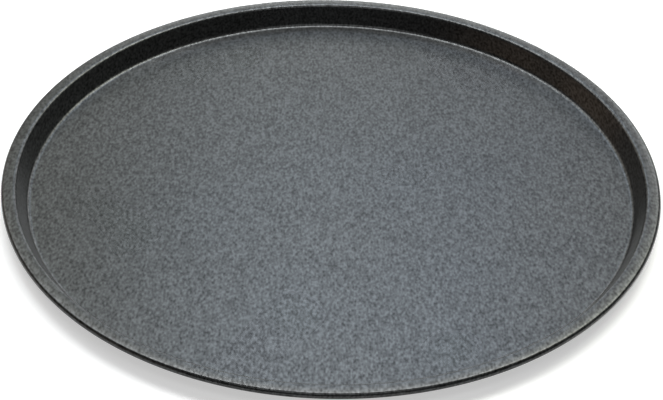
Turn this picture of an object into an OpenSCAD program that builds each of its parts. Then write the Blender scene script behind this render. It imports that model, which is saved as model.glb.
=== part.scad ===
// Round pizza pan, pressed from one disc of sheet steel.
// Its outer edge is rolled round a ring of steel wire, which stiffens the rim.
// Millimetres. +Z is up, and the origin is the centre of the floor's underside.

/* [Pan] */
// Diameter across the outside of the rolled rim
pan_d = 320; // [220:1:400]
// Height from the underside of the floor to the crest of the rim
rim_h = 10.5; // [8:0.1:20]
// Lean of the wall away from upright, in degrees
wall_lean = 28; // [5:1:45]
// Thickness of the coated sheet
sheet_t = 0.6; // [0.4:0.05:1]

/* [Bends] */
// Inside radius of the corner between floor and wall
corner_r = 2.6; // [1.2:0.1:4]
// Outside radius of the bend between wall and flange
bend_r = 2; // [1.2:0.1:3]
// Width of the flange, from its crest to the middle of the rolled edge
flange_w = 4.1; // [3:0.1:12]
// Radius of the flange's gentle crown
crown_r = 40; // [16:1:80]

/* [Rolled edge] */
// Diameter of the wire inside the rolled edge
wire_d = 2; // [1.6:0.1:3.2]
// Clearance between the wire and the sheet rolled round it
wire_clearance = 0.05; // [0.02:0.01:0.15]
// Gap between the sheet's cut edge and the underside of the flange
curl_gap = 0.2; // [0.15:0.05:1]
// Gap between the wire's two cut ends
wire_gap = 1; // [0.2:0.1:5]

/* [Hidden] */

// Fineness: the turn about the pan's axis, the wire's section, and a step along a bend
round_fn = 256;
wire_fn = 48;
bend_step = 8;

// A bend's angles are those of the sheet's upward normal in its section. Level sheet has this one.
LEVEL = 90;

// The rolled edge: its outside radius, and the radius of the circle that the wire follows
curl_r = wire_d / 2 + wire_clearance + sheet_t;
wire_ring_r = pan_d / 2 - curl_r;

// The sheet turns round the wire until its cut edge is one gap short of the flange's underside
curl_turn = 360 - acos(1 - (sheet_t + curl_gap) / curl_r);

// The crown is level at the crest, and runs smoothly out into the rolled edge
crest_x = wire_ring_r - flange_w;
crown_turn = asin(flange_w / (crown_r - curl_r));
wire_z = rim_h - crown_r + (crown_r - curl_r) * cos(crown_turn);

// The wall is the straight sheet that runs smoothly from the corner into the bend
wall_turn = 90 - wall_lean;
corner_z = sheet_t + corner_r;
bend_z = rim_h - bend_r;
wall_h = bend_z - corner_z + (corner_r + bend_r) * cos(wall_turn);
corner_x = crest_x - (corner_r + bend_r) * sin(wall_turn) - wall_h / tan(wall_turn);

// Every bend from the floor outwards: its centre, the radius of the sheet's upper face, its first
// and last angle, and whether straight sheet leads up to it. The corner turns the sheet upwards,
// so its radius is negative.
BENDS = [
    [[corner_x, corner_z], -corner_r, LEVEL, LEVEL + wall_turn, true],
    [[crest_x, bend_z], bend_r, LEVEL + wall_turn, LEVEL, true],
    [[crest_x, rim_h - crown_r], crown_r, LEVEL, LEVEL - crown_turn, false],
    [[wire_ring_r, wire_z], curl_r, LEVEL - crown_turn, LEVEL - crown_turn - curl_turn, false],
];

// The points along one bend, at a depth under the sheet's upper face. A bend that continues
// another starts a step on, because the point that they share is already there.
function bend_points(centre, r, first, last, after_straight, depth) =
    let (steps = ceil(abs(last - first) / bend_step))
    [for (i = [after_straight ? 0 : 1:steps])
        let (angle = first + (last - first) * i / steps)
        centre + (r - depth) * [cos(angle), sin(angle)]];

// The points of one face of the sheet, from the corner out to the cut edge
function face_points(depth) =
    [for (b = BENDS) each bend_points(b[0], b[1], b[2], b[3], b[4], depth)];

function reversed(points) = [for (i = [len(points) - 1:-1:0]) points[i]];

// The sheet's section from the pan's axis outwards: along its upper face, and back underneath
module sheet_section() {
    polygon(concat([[0, sheet_t]], face_points(0), reversed(face_points(sheet_t)), [[0, 0]]));
}

// The pressed pan: floor, wall, flange and rolled edge in one sheet
module pan_sheet() {
    color([0.30, 0.31, 0.32])
        rotate_extrude($fn = round_fn)
        sheet_section();
}

// The stiffening wire, bent to a ring whose cut ends nearly meet at the back
module rim_wire() {
    gap_turn = wire_gap / wire_ring_r * 180 / PI;
    color([0.62, 0.63, 0.64])
        rotate([0, 0, 90 + gap_turn / 2])
        rotate_extrude(angle = 360 - gap_turn, $fn = round_fn)
        translate([wire_ring_r, wire_z])
        circle(d = wire_d, $fn = wire_fn);
}

pan_sheet();
rim_wire();
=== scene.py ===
# %% [markdown]
# # A round pizza pan
#
# The pan is one disc of sheet steel, pressed to a flat floor with a low flared wall and a narrow
# flange. Its edge is rolled round a ring of steel wire, and a satin charcoal non-stick coat covers
# the sheet. There are only two pieces, so this lesson is about the section that gives a pressed
# sheet its shape, about a coat that shows more light than colour, and about placing soft light.
#
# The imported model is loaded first. It is the fixed frame: it says how big the pan is and where it
# stands. Everything here is in metres, with Z up and the underside of the pan's floor at zero.

# %% The frame
import math

import bpy
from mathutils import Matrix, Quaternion, Vector


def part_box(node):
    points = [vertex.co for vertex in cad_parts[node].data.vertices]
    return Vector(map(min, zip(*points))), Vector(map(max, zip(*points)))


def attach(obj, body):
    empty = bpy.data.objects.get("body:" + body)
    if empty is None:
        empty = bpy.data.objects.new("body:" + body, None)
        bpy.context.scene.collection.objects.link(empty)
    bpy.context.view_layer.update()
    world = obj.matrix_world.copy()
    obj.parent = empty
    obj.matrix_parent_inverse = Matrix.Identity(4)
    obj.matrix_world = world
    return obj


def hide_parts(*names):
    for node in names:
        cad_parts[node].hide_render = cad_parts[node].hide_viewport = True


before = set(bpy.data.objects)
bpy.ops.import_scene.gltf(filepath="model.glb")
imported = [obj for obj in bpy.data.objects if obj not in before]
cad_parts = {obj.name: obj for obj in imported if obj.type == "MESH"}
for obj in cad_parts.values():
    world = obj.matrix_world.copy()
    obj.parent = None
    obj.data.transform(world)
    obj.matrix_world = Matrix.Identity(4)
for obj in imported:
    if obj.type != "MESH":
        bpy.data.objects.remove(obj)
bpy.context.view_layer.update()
print("nodes:", sorted(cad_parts))

# %% [markdown]
# ## Sizes
#
# The rim's diameter and height come from the frame. The other sizes are those of the pressed
# sheet: its thickness, the lean of its wall, the radius of each bend and the wire in the edge.
# They are kept as a short list of real measures, and every point of the pan follows from them.

# %% Sizes of the pan
MM = 0.001
pan_low, pan_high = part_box("pan_sheet")
rim_radius = min(-pan_low.x, pan_high.x, -pan_low.y, pan_high.y)
rim_height = pan_high.z

sheet = 0.6 * MM
wall_lean = 28
corner_radius = 2.6 * MM
bend_radius = 2 * MM
flange_width = 4.1 * MM
crown_radius = 40 * MM
wire_radius = 1 * MM
wire_clearance = 0.05 * MM
curl_gap = 0.2 * MM
wire_gap = 1 * MM
print(f"rim: {2000 * rim_radius:.1f} mm across, {1000 * rim_height:.1f} mm high")

# %% [markdown]
# ## The section
#
# A pressed round pan has the same section all the way round, so its shape is one drawing turned
# about the axis. The drawing is a chain of bends: a corner that turns the floor up into the wall, a
# bend over into the flange, the flange's gentle crown, and the curl round the wire. Straight sheet
# joins the corner to the bend. Each bend starts in the direction in which the one before it ended,
# which is why the light runs over the rim in clean lines without a crease.
#
# Each bend is written as its centre, the radius of the sheet's upper face, and the angles between
# which the sheet's upward normal turns. A bend that turns upwards has a negative radius.

# %% Where the bends lie
LEVEL = 90

curl_radius = wire_radius + wire_clearance + sheet
wire_ring_radius = rim_radius - curl_radius
crest_radius = wire_ring_radius - flange_width
crown_turn = math.degrees(math.asin(flange_width / (crown_radius - curl_radius)))
crown_height = rim_height - crown_radius
wire_height = crown_height + (crown_radius - curl_radius) * math.cos(math.radians(crown_turn))
curl_turn = 360 - math.degrees(math.acos(1 - (sheet + curl_gap) / curl_radius))

wall_turn = 90 - wall_lean
bend_height = rim_height - bend_radius
corner_height = sheet + corner_radius
both_radii = corner_radius + bend_radius
wall_rise = bend_height - corner_height + both_radii * math.cos(math.radians(wall_turn))
wall_run = both_radii * math.sin(math.radians(wall_turn)) + wall_rise / math.tan(math.radians(wall_turn))
floor_radius = crest_radius - wall_run
print(f"flat floor: {2000 * floor_radius:.1f} mm across, wire ring: {2000 * wire_ring_radius:.1f} mm")

corner = ((floor_radius, corner_height), -corner_radius, LEVEL, LEVEL + wall_turn)
bend = ((crest_radius, bend_height), bend_radius, LEVEL + wall_turn, LEVEL)
crown = ((crest_radius, crown_height), crown_radius, LEVEL, LEVEL - crown_turn)
curl = ((wire_ring_radius, wire_height), curl_radius, LEVEL - crown_turn, LEVEL - crown_turn - curl_turn)

# %% [markdown]
# ## From bends to points
#
# A mesh has no true curves, so each bend becomes a row of points. Steps of a few degrees are fine
# enough that smooth shading hides them. Long straight stretches also get a point close to each of
# their ends: smooth shading blends the two faces that meet at a point, and a short face at each end
# keeps that blend from spreading over the whole floor or wall.

# %% Points along the section
BEND_STEP = 5
EASE = 0.4 * MM


def bend_points(centre, radius, first, last, depth):
    """Points of one bend, depth under the sheet's upper face."""
    steps = max(3, math.ceil(abs(last - first) / BEND_STEP))
    angles = [math.radians(first + (last - first) * i / steps) for i in range(steps + 1)]
    reach = radius - depth
    return [(centre[0] + reach * math.cos(a), centre[1] + reach * math.sin(a)) for a in angles]


def between(start, end, inset):
    """Two points on the straight stretch from start to end, one close to each end."""
    share = inset / math.dist(start, end)
    return [tuple(a + (b - a) * s for a, b in zip(start, end)) for s in (share, 1 - share)]


def sheet_face(depth):
    """The points of one face of the sheet, from the floor's edge out to the cut edge."""
    corner_points = bend_points(*corner, depth)
    bend_row = bend_points(*bend, depth)
    wall = between(corner_points[-1], bend_row[0], EASE)
    return corner_points + wall + bend_row + bend_points(*crown, depth)[1:] + bend_points(*curl, depth)[1:]


upper_face = sheet_face(0)
under_face = sheet_face(sheet)
print("points along the sheet:", len(upper_face), "above and", len(under_face), "below")

# %% [markdown]
# ## Turning the section
#
# The section is turned about the axis in even steps. Every row of points becomes a ring, and
# neighbouring rings are joined by quads, so the faces follow the metal and stay evenly shaped. The
# floor gets a few rings too, and a single point closes it in the middle of each face. A section
# that runs outwards over the top and back underneath gives faces that all look out of the metal.

# %% A function that turns a section
AROUND = 384


def turned(name, section):
    """A mesh made by turning (radius, height) points about Z. A radius of zero makes one point."""
    points, rings = [], []
    for radius, height in section:
        count = AROUND if radius > 0 else 1
        rings.append(range(len(points), len(points) + count))
        turns = [2 * math.pi * i / AROUND for i in range(count)]
        points += [(radius * math.cos(t), radius * math.sin(t), height) for t in turns]
    faces = []
    for low, high in zip(rings, rings[1:]):
        for i in range(AROUND):
            j = (i + 1) % AROUND
            corners = [low[i % len(low)], high[i % len(high)], high[j % len(high)], low[j % len(low)]]
            faces.append(tuple(dict.fromkeys(corners)))
    mesh = bpy.data.meshes.new(name)
    mesh.from_pydata(points, [], faces)
    mesh.validate()
    piece = bpy.data.objects.new(name, mesh)
    bpy.context.scene.collection.objects.link(piece)
    return piece


def shaded(piece, sharp_angle):
    """Smooth shading, broken only where two faces meet at more than sharp_angle degrees."""
    piece.data.shade_smooth()
    piece.data.set_sharp_from_angle(angle=math.radians(sharp_angle))


# %% [markdown]
# ## The pressed pan
#
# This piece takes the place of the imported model's sheet and has the same section, in finer steps.
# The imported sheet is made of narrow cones, right for measuring, but a highlight would show their
# edges. The only sharp edges here are the two at the sheet's cut end, hidden inside the curl.

# %% The pan
FLOOR_RINGS = (0.25, 0.5, 0.75, 0.92)
CUT_EDGE_ANGLE = 40


def floor_points(height):
    """The floor from the middle outwards, up to just inside the corner."""
    rings = [(floor_radius * share, height) for share in FLOOR_RINGS]
    return [(0, height)] + rings + [(floor_radius - EASE, height)]


section = floor_points(sheet) + upper_face + under_face[::-1] + floor_points(0)[::-1]
pan = turned("pressed_pan", section)
shaded(pan, CUT_EDGE_ANGLE)
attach(pan, "root")
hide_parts("pan_sheet")
print("pressed pan:", len(pan.data.polygons), "faces")

# %% [markdown]
# ## The wire in the edge
#
# The wire is bent to a ring, and its two cut ends nearly meet at the back. A curve would do, but a
# swept mesh gives clean flat ends and the same steps as the pan round it.

# %% The wire ring
WIRE_SIDES = 24


def wire_ring():
    """A round bar bent to an open ring, with a flat face on each end."""
    gap_turn = wire_gap / wire_ring_radius
    start = math.pi / 2 + gap_turn / 2
    sweep = 2 * math.pi - gap_turn
    points, faces = [], []
    for i in range(AROUND + 1):
        turn = start + sweep * i / AROUND
        for k in range(WIRE_SIDES):
            side = 2 * math.pi * k / WIRE_SIDES
            radius = wire_ring_radius + wire_radius * math.cos(side)
            height = wire_height + wire_radius * math.sin(side)
            points.append((radius * math.cos(turn), radius * math.sin(turn), height))
    for i in range(AROUND):
        for k in range(WIRE_SIDES):
            n = (k + 1) % WIRE_SIDES
            here, there = i * WIRE_SIDES, (i + 1) * WIRE_SIDES
            faces.append((here + k, there + k, there + n, here + n))
    last = AROUND * WIRE_SIDES
    faces.append(tuple(range(WIRE_SIDES)))
    faces.append(tuple(last + k for k in reversed(range(WIRE_SIDES))))
    mesh = bpy.data.meshes.new("wire_ring")
    mesh.from_pydata(points, [], faces)
    mesh.validate()
    piece = bpy.data.objects.new("wire_ring", mesh)
    bpy.context.scene.collection.objects.link(piece)
    return piece


wire = wire_ring()
shaded(wire, CUT_EDGE_ANGLE)
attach(wire, "root")
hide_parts("rim_wire")
print("wire ring:", len(wire.data.polygons), "faces")

# %% [markdown]
# ## The camera
#
# The pan was photographed with a long lens from a good metre away, 37 degrees above the floor, with
# the camera turned a little about its own line of sight. The lens looks at the middle of the pan's
# floor, and a small shift puts that point where it is in the picture.

# %% The camera
PICTURE_WIDTH, PICTURE_HEIGHT = 663, 400
SENSOR_WIDTH = 36
VIEW_REACH = 50
view_elevation = math.radians(36.95)
view_distance = 1.1
view_roll = math.radians(1.36)
pixels_per_metre = 2040.5
target_pixel = (331.1, 189.6)

camera_data = bpy.data.cameras.new("camera")
camera_data.sensor_width = SENSOR_WIDTH
camera_data.lens = SENSOR_WIDTH * pixels_per_metre * view_distance / PICTURE_WIDTH
camera_data.shift_x = (PICTURE_WIDTH / 2 - target_pixel[0]) / PICTURE_WIDTH
camera_data.shift_y = (target_pixel[1] - PICTURE_HEIGHT / 2) / PICTURE_WIDTH
camera_data.clip_end = VIEW_REACH

camera = bpy.data.objects.new("camera", camera_data)
bpy.context.scene.collection.objects.link(camera)
towards_camera = Vector((0, -math.cos(view_elevation), math.sin(view_elevation)))
camera.location = Vector((0, 0, sheet)) + view_distance * towards_camera
camera.rotation_mode = "QUATERNION"
level_view = (-towards_camera).to_track_quat("-Z", "Y")
camera.rotation_quaternion = level_view @ Quaternion((0, 0, 1), view_roll)
bpy.context.scene.camera = camera
print(f"lens: {camera_data.lens:.1f} mm")

# %% [markdown]
# ## Grain that both metals share
#
# The coat and the wire both need grain: a soft random value that the coat turns into flecks and the
# wire into drawn lines. It is a node group, so that both materials use the same one at their own
# fineness. It only gives a value, and each material decides what the value changes.

# %% A group for grain
GRAIN_LOW, GRAIN_HIGH = 0.2, 0.8
GRAIN_DETAIL = 0.5
GRAIN_ROUGHNESS = 0.6


def grain_group():
    """A node group that turns a position and a fineness per metre into a soft random value, 0 to 1."""
    group = bpy.data.node_groups.new("metal_grain", "ShaderNodeTree")
    group.interface.new_socket("Position", in_out="INPUT", socket_type="NodeSocketVector")
    group.interface.new_socket("Fineness", in_out="INPUT", socket_type="NodeSocketFloat")
    group.interface.new_socket("Grain", in_out="OUTPUT", socket_type="NodeSocketFloat")
    entry = group.nodes.new("NodeGroupInput")
    leave = group.nodes.new("NodeGroupOutput")
    noise = group.nodes.new("ShaderNodeTexNoise")
    noise.inputs["Detail"].default_value = GRAIN_DETAIL
    noise.inputs["Roughness"].default_value = GRAIN_ROUGHNESS
    spread = group.nodes.new("ShaderNodeMapRange")
    spread.inputs["From Min"].default_value = GRAIN_LOW
    spread.inputs["From Max"].default_value = GRAIN_HIGH
    group.links.new(entry.outputs["Position"], noise.inputs["Vector"])
    group.links.new(entry.outputs["Fineness"], noise.inputs["Scale"])
    group.links.new(noise.outputs["Fac"], spread.inputs["Value"])
    group.links.new(spread.outputs["Result"], leave.inputs["Grain"])
    return group


metal_grain = grain_group()
print("node group:", metal_grain.name)

# %% [markdown]
# ## From grain to a look
#
# Three small helpers put the grain to work in a material. The first places the group, the second
# turns its value into a colour between two others, and the third into a number, such as a
# roughness. Each node gets a name that says what it does there.

# %% Helpers for the two metals


def named_node(tree, kind, name):
    """A new node whose name and label say what it does."""
    node = tree.nodes.new(kind)
    node.name = name
    node.label = name
    return node


def grain(tree, name, position, fineness):
    """The grain group in a material, at its own fineness per metre."""
    node = named_node(tree, "ShaderNodeGroup", name)
    node.node_tree = metal_grain
    node.inputs["Fineness"].default_value = fineness
    tree.links.new(position, node.inputs["Position"])
    return node.outputs["Grain"]


def ramp(tree, name, value, low_colour, high_colour):
    """A colour that runs from low_colour to high_colour as the value runs from 0 to 1."""
    node = named_node(tree, "ShaderNodeValToRGB", name)
    node.color_ramp.elements[0].color = (*low_colour, 1)
    node.color_ramp.elements[1].color = (*high_colour, 1)
    tree.links.new(value, node.inputs["Fac"])
    return node.outputs["Color"]


def between_values(tree, name, value, low, high):
    """A number that runs from low to high as the value runs from 0 to 1."""
    node = named_node(tree, "ShaderNodeMapRange", name)
    node.inputs["To Min"].default_value = low
    node.inputs["To Max"].default_value = high
    tree.links.new(value, node.inputs["Value"])
    return node.outputs["Result"]


# %% [markdown]
# ## The non-stick coat
#
# The coat is a dark charcoal film, full of fine flecks of mineral and metal. It has little colour
# of its own: what the eye sees is its satin sheen. So the larger part of it is written as a very
# dark metal, whose colour is also the strength of its sheen, and the rest as a dull dark paint,
# which is what shows where no lamp is mirrored. The flecks are a change in that colour.
#
# The flecks could be a picture or a grid of small marks. A soft random value in the pan's own
# space is better here: it has no seam and no repeat, and it runs on over wall and flange. It is
# drawn out a little from front to back, so that the flecks look round at the slant of the picture.
# The sheen's roughness drifts a little over the pan, as on any sprayed film, and a very shallow
# relief stands for its orange peel.

# %% Colours and sheen of the coat
COAT_DARK = (0.0105, 0.0105, 0.0105)
COAT_PALE = (0.0725, 0.0745, 0.0755)
COAT_METAL = 0.68
COAT_SPECULAR = 0.38
COAT_ROUGHNESS = (0.26, 0.31)

FLECKS_PER_METRE = 900
FLECK_STRETCH = 1.8
DRIFT_PER_METRE = 14
PEEL_PER_METRE = 260
PEEL_DEPTH = 0.012 * MM
print(f"flecks: about {1 / (FLECKS_PER_METRE * MM):.1f} mm apart")

# %% The coat
coat = bpy.data.materials.new("non_stick_coat")
coat.use_nodes = True
tree = coat.node_tree
shader = tree.nodes["Principled BSDF"]
place = tree.nodes.new("ShaderNodeTexCoord").outputs["Object"]

drawn_out = named_node(tree, "ShaderNodeVectorMath", "drawn out")
drawn_out.operation = "DIVIDE"
drawn_out.inputs[1].default_value = (1, FLECK_STRETCH, 1)
tree.links.new(place, drawn_out.inputs[0])
flecks = grain(tree, "flecks", drawn_out.outputs["Vector"], FLECKS_PER_METRE)
tree.links.new(ramp(tree, "fleck colour", flecks, COAT_DARK, COAT_PALE), shader.inputs["Base Color"])

drift = grain(tree, "drift", place, DRIFT_PER_METRE)
tree.links.new(between_values(tree, "sheen", drift, *COAT_ROUGHNESS), shader.inputs["Roughness"])

peel = grain(tree, "orange peel", place, PEEL_PER_METRE)
relief = named_node(tree, "ShaderNodeBump", "relief")
relief.inputs["Strength"].default_value = 1
relief.inputs["Distance"].default_value = PEEL_DEPTH
tree.links.new(peel, relief.inputs["Height"])
tree.links.new(relief.outputs["Normal"], shader.inputs["Normal"])

shader.inputs["Metallic"].default_value = COAT_METAL
shader.inputs["Specular IOR Level"].default_value = COAT_SPECULAR
pan.data.materials.append(coat)
print("coat:", len(tree.nodes), "nodes")

# %% [markdown]
# ## The wire's steel
#
# The wire is bare drawn steel. Drawing leaves fine lines along it, so its grain must change across
# the wire and hardly at all along it. Two measures do that: the distance from the pan's axis and
# the height, which both stay the same as one follows the ring.

# %% The wire's steel
STEEL_DARK = (0.42, 0.42, 0.43)
STEEL_PALE = (0.62, 0.62, 0.63)
STEEL_ROUGHNESS = (0.24, 0.42)
LINES_PER_METRE = 9000

steel = bpy.data.materials.new("drawn_steel")
steel.use_nodes = True
tree = steel.node_tree
shader = tree.nodes["Principled BSDF"]
place = tree.nodes.new("ShaderNodeSeparateXYZ")
tree.links.new(tree.nodes.new("ShaderNodeTexCoord").outputs["Object"], place.inputs["Vector"])
flat_place = tree.nodes.new("ShaderNodeCombineXYZ")
tree.links.new(place.outputs["X"], flat_place.inputs["X"])
tree.links.new(place.outputs["Y"], flat_place.inputs["Y"])
axis_distance = tree.nodes.new("ShaderNodeVectorMath")
axis_distance.operation = "LENGTH"
tree.links.new(flat_place.outputs["Vector"], axis_distance.inputs["Vector"])
across = tree.nodes.new("ShaderNodeCombineXYZ")
tree.links.new(axis_distance.outputs["Value"], across.inputs["X"])
tree.links.new(place.outputs["Z"], across.inputs["Z"])
lines = grain(tree, "drawn lines", across.outputs["Vector"], LINES_PER_METRE)
tree.links.new(ramp(tree, "steel colour", lines, STEEL_DARK, STEEL_PALE), shader.inputs["Base Color"])
tree.links.new(between_values(tree, "line sheen", lines, *STEEL_ROUGHNESS), shader.inputs["Roughness"])
shader.inputs["Metallic"].default_value = 1
wire.data.materials.append(steel)
print("steel:", len(tree.nodes), "nodes")

# %% [markdown]
# ## The floor of the studio
#
# The pan stands on a wide floor, one large square a hair's breadth below the pan. It runs on far
# past the edge of the picture, so that no horizon shows from the usual angles.

# %% The floor
FLOOR_SIZE = 40
FLOOR_DROP = 0.1 * MM

half = FLOOR_SIZE / 2
floor_corners = [(x, y, -FLOOR_DROP) for x, y in ((-half, -half), (half, -half), (half, half), (-half, half))]
floor_mesh = bpy.data.meshes.new("studio_floor")
floor_mesh.from_pydata(floor_corners, [], [(0, 1, 2, 3)])
studio_floor = bpy.data.objects.new("studio_floor", floor_mesh)
bpy.context.scene.collection.objects.link(studio_floor)
print("floor:", FLOOR_SIZE, "m wide")

# %% [markdown]
# ## How the floor turns white
#
# More lamps would make the floor white, but they would also bleach the pan. So the floor is a pale
# paint that the lamps light and the pan shades, with a light of its own added on top. Only the
# camera and mirrored rays see that light, so it never falls on the pan. It is weak near the pan,
# where the soft shadow has to show, and full farther away, where the lamps no longer reach.

# %% The floor's own light
FLOOR_LIFT = 0.5
LIFT_STARTS, LIFT_ENDS = 0.3, 0.9


def combined(tree, operation, first, second):
    """Two values added or multiplied, and kept between 0 and 1."""
    node = tree.nodes.new("ShaderNodeMath")
    node.operation = operation
    node.use_clamp = True
    tree.links.new(first, node.inputs[0])
    tree.links.new(second, node.inputs[1])
    return node.outputs["Value"]


floor_material = bpy.data.materials.new("studio_white")
floor_material.use_nodes = True
tree = floor_material.node_tree
tree.nodes.clear()
rays = tree.nodes.new("ShaderNodeLightPath").outputs
spot = tree.nodes.new("ShaderNodeNewGeometry").outputs
mirrored = combined(tree, "ADD", rays["Is Glossy Ray"], rays["Is Transmission Ray"])
seen = combined(tree, "ADD", rays["Is Camera Ray"], mirrored)

reach = named_node(tree, "ShaderNodeVectorMath", "distance from the pan")
reach.operation = "LENGTH"
tree.links.new(spot["Position"], reach.inputs["Vector"])
lift = named_node(tree, "ShaderNodeMapRange", "light by distance")
lift.interpolation_type = "SMOOTHSTEP"
lift.inputs["From Min"].default_value = LIFT_STARTS
lift.inputs["From Max"].default_value = LIFT_ENDS
lift.inputs["To Min"].default_value = FLOOR_LIFT
tree.links.new(reach.outputs["Value"], lift.inputs["Value"])
own_light = combined(tree, "MULTIPLY", lift.outputs["Result"], seen)
print("own light near the pan:", FLOOR_LIFT, "and beyond", LIFT_ENDS, "m: 1")

# %% [markdown]
# ## The floor's paint
#
# The paint and the light are added together. From below, the camera looks straight through the
# floor, so that the underside of the pan can be looked at too.

# %% The floor's paint
FLOOR_WHITE = 0.62

paint = tree.nodes.new("ShaderNodeBsdfDiffuse")
paint.inputs["Color"].default_value = (FLOOR_WHITE, FLOOR_WHITE, FLOOR_WHITE, 1)
glow = tree.nodes.new("ShaderNodeEmission")
tree.links.new(own_light, glow.inputs["Strength"])
lit = tree.nodes.new("ShaderNodeAddShader")
tree.links.new(paint.outputs["BSDF"], lit.inputs[0])
tree.links.new(glow.outputs["Emission"], lit.inputs[1])

clear = tree.nodes.new("ShaderNodeBsdfTransparent")
whole = tree.nodes.new("ShaderNodeMixShader")
tree.links.new(combined(tree, "MULTIPLY", spot["Backfacing"], rays["Is Camera Ray"]), whole.inputs["Fac"])
tree.links.new(lit.outputs["Shader"], whole.inputs[1])
tree.links.new(clear.outputs["BSDF"], whole.inputs[2])
leave = tree.nodes.new("ShaderNodeOutputMaterial")
tree.links.new(whole.outputs["Shader"], leave.inputs["Surface"])
studio_floor.data.materials.append(floor_material)
print("floor's paint:", len(tree.nodes), "nodes")

# %% [markdown]
# ## The lamps
#
# A satin coat is a dull mirror, so the lamps are chosen by what each part of the pan mirrors. The
# floor and the flange mirror what stands behind the pan, about as high as the camera is in front
# of it. Three key lamps there give the floor its even grey sheen, a little bluer in the middle,
# and two side lamps carry that sheen out to the left and right. The corner and the upper bend are
# small rounds, which mirror a wide part of the room, and a strong high strip draws a bright line
# along them. The wall at the back mirrors the low space in front of the pan, which is left almost
# dark, and so the wall is nearly black. One high lamp in front keeps the pan from looking black
# when it is seen from behind. Lower panels behind the pan light the crown of the flange.
# A warm tall lamp at the left and weak low lamps round the front lift the walls and the rolled
# edge a little, the brown ones at the left for the faint warmth of the wall on the right.
#
# Each soft box is given by its direction and distance from the pan, its size, its glow and its
# colour. A glow of 1 is a lamp that looks just white, and its power follows from glow and area.

# %% Where the lamps stand
BLUE = (0.78, 1, 1.33)
SOFT = (0.98, 1, 0.87)
PLAIN = (0.98, 1, 1.01)
WARM = (1, 0.85, 0.7)
BROWN = (1, 0.7, 0.47)

#              name: azimuth, elevation, distance, width, height, glow, colour
SOFT_BOXES = {
    "high_strip": (90, 68, 1.5, 1.1, 0.45, 10.5, PLAIN),
    "key_middle": (88, 44, 1.5, 0.5, 0.5, 2.1, BLUE),
    "key_right": (74, 47, 1.5, 0.9, 0.7, 0.96, PLAIN),
    "key_left": (110, 47, 1.5, 1.0, 0.7, 1.1, SOFT),
    "side_right": (44, 50, 1.5, 0.7, 0.7, 7.0, SOFT),
    "side_left": (136, 52, 1.5, 0.8, 0.6, 3.0, PLAIN),
    "tall_left": (130, 28, 1.5, 0.45, 0.7, 1.0, WARM),
    "panel_low": (88, 18, 1.8, 1.1, 0.4, 3.5, PLAIN),
    "panel_right": (64, 25, 1.5, 0.25, 0.3, 7.0, PLAIN),
    "panel_middle": (98, 27, 1.8, 1.2, 0.35, 0.8, SOFT),
    "low_left": (163, 8, 1.8, 1.2, 0.4, 0.65, BROWN),
    "low_front_left": (206, 12, 1.8, 1.2, 0.4, 0.6, BROWN),
    "low_front": (275, 8, 1.8, 1.6, 0.4, 0.6, PLAIN),
    "front_high": (271, 62, 1.5, 1.0, 0.5, 1.8, PLAIN),
}
print("soft boxes:", len(SOFT_BOXES))

# %% Hanging the lamps


def soft_box(name, azimuth, elevation, distance, width, height, glow, colour):
    """A rectangular lamp that faces the pan. Angles in degrees, with azimuth 90 behind the pan."""
    turn, climb = math.radians(azimuth), math.radians(elevation)
    direction = Vector((math.cos(climb) * math.cos(turn), math.cos(climb) * math.sin(turn), math.sin(climb)))
    data = bpy.data.lights.new(name, "AREA")
    data.shape = "RECTANGLE"
    data.size = width
    data.size_y = height
    data.energy = math.pi * width * height * glow
    data.color = colour
    lamp = bpy.data.objects.new(name, data)
    bpy.context.scene.collection.objects.link(lamp)
    lamp.location = distance * direction
    lamp.rotation_mode = "QUATERNION"
    lamp.rotation_quaternion = (-direction).to_track_quat("-Z", "Y")
    lamp.visible_camera = False
    return lamp


lamps = [soft_box(name, *measures) for name, measures in SOFT_BOXES.items()]
print(f"power of all lamps: {sum(lamp.data.energy for lamp in lamps):.0f} W")

# %% [markdown]
# ## The dim room
#
# The room round the lamps is a very dim grey, so that no part of the pan is quite without light.
# The picture is shown with the Standard view, in which a colour looks about as it is written.

# %% The room
ROOM_GREY = 0.02

world = bpy.data.worlds.new("studio_room")
bpy.context.scene.world = world
world.use_nodes = True
world.node_tree.nodes["Background"].inputs["Color"].default_value = (ROOM_GREY, ROOM_GREY, ROOM_GREY, 1)

bpy.context.scene.view_settings.view_transform = "Standard"
print("room grey:", ROOM_GREY)
